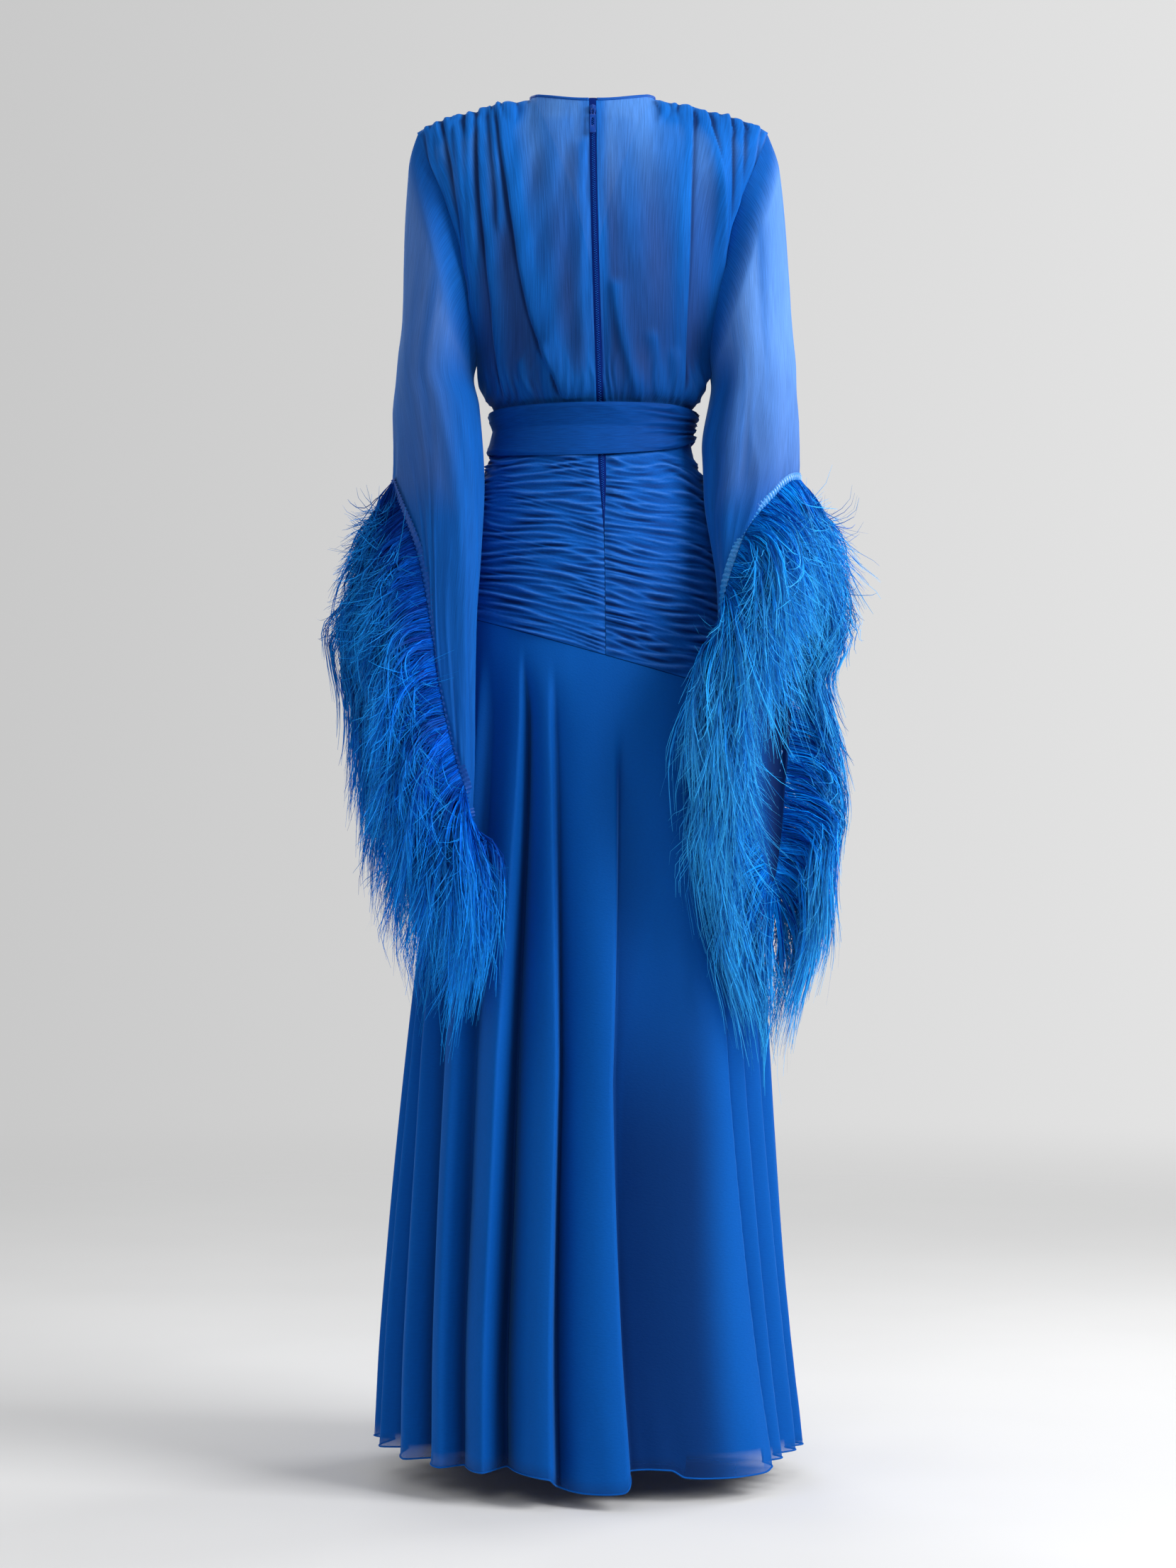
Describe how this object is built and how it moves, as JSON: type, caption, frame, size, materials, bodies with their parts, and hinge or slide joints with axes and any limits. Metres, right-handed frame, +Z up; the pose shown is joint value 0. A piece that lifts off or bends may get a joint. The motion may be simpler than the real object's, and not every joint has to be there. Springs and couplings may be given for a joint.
{
  "type": "draped maxi dress",
  "caption": "Floor-length chiffon gown with V front, gathered bodice, sash, ruched hip yoke, long folded skirt and flared sleeves fringed with feathers at the cuffs.",
  "frame": {"origin": "midway between the two neck points of the shoulder seams, where the wearer's shoulders carry the dress", "axes": "+Z up, -Y towards the front of the dress, +X towards the wearer's left"},
  "size_m": [0.5933, 0.4554, 1.5289],
  "materials": {
    "bodice": "sheer crinkled chiffon over lining colour",
    "sleeve": "sheer crinkled chiffon",
    "yoke": "gathered chiffon",
    "sash": "smooth folded chiffon",
    "skirt": "soft chiffon, sheer at the hem",
    "feather": "ostrich feather",
    "zip_tape": "woven tape with a plastic coil",
    "zip_metal": "lacquered to match the cloth"
  },
  "bodies": {
    "dress": {"bodice_back_left": "bodice", "bodice_back_right": "bodice", "bodice_front": "bodice", "neck_binding": "bodice", "sleeve_left": "sleeve", "sleeve_right": "sleeve", "feather_trim_left": "feather", "feather_trim_right": "feather", "waist_sash": "sash", "hip_yoke_back_left": "yoke", "hip_yoke_back_right": "yoke", "hip_yoke_front": "yoke", "skirt_back": "skirt", "skirt_front": "skirt", "zip_tape": "zip_tape", "zip_slider": "zip_metal"},
    "zip_pull": {"zip_pull": "zip_metal"}
  },
  "joints": [
    {"name": "zip_pull_swing", "type": "hinge", "parent": "dress", "child": "zip_pull", "pos_m": [-0.00006, 0.07926, -0.02276], "axis": [1, 0, 0], "range_deg": [0, 150]}
  ]
}
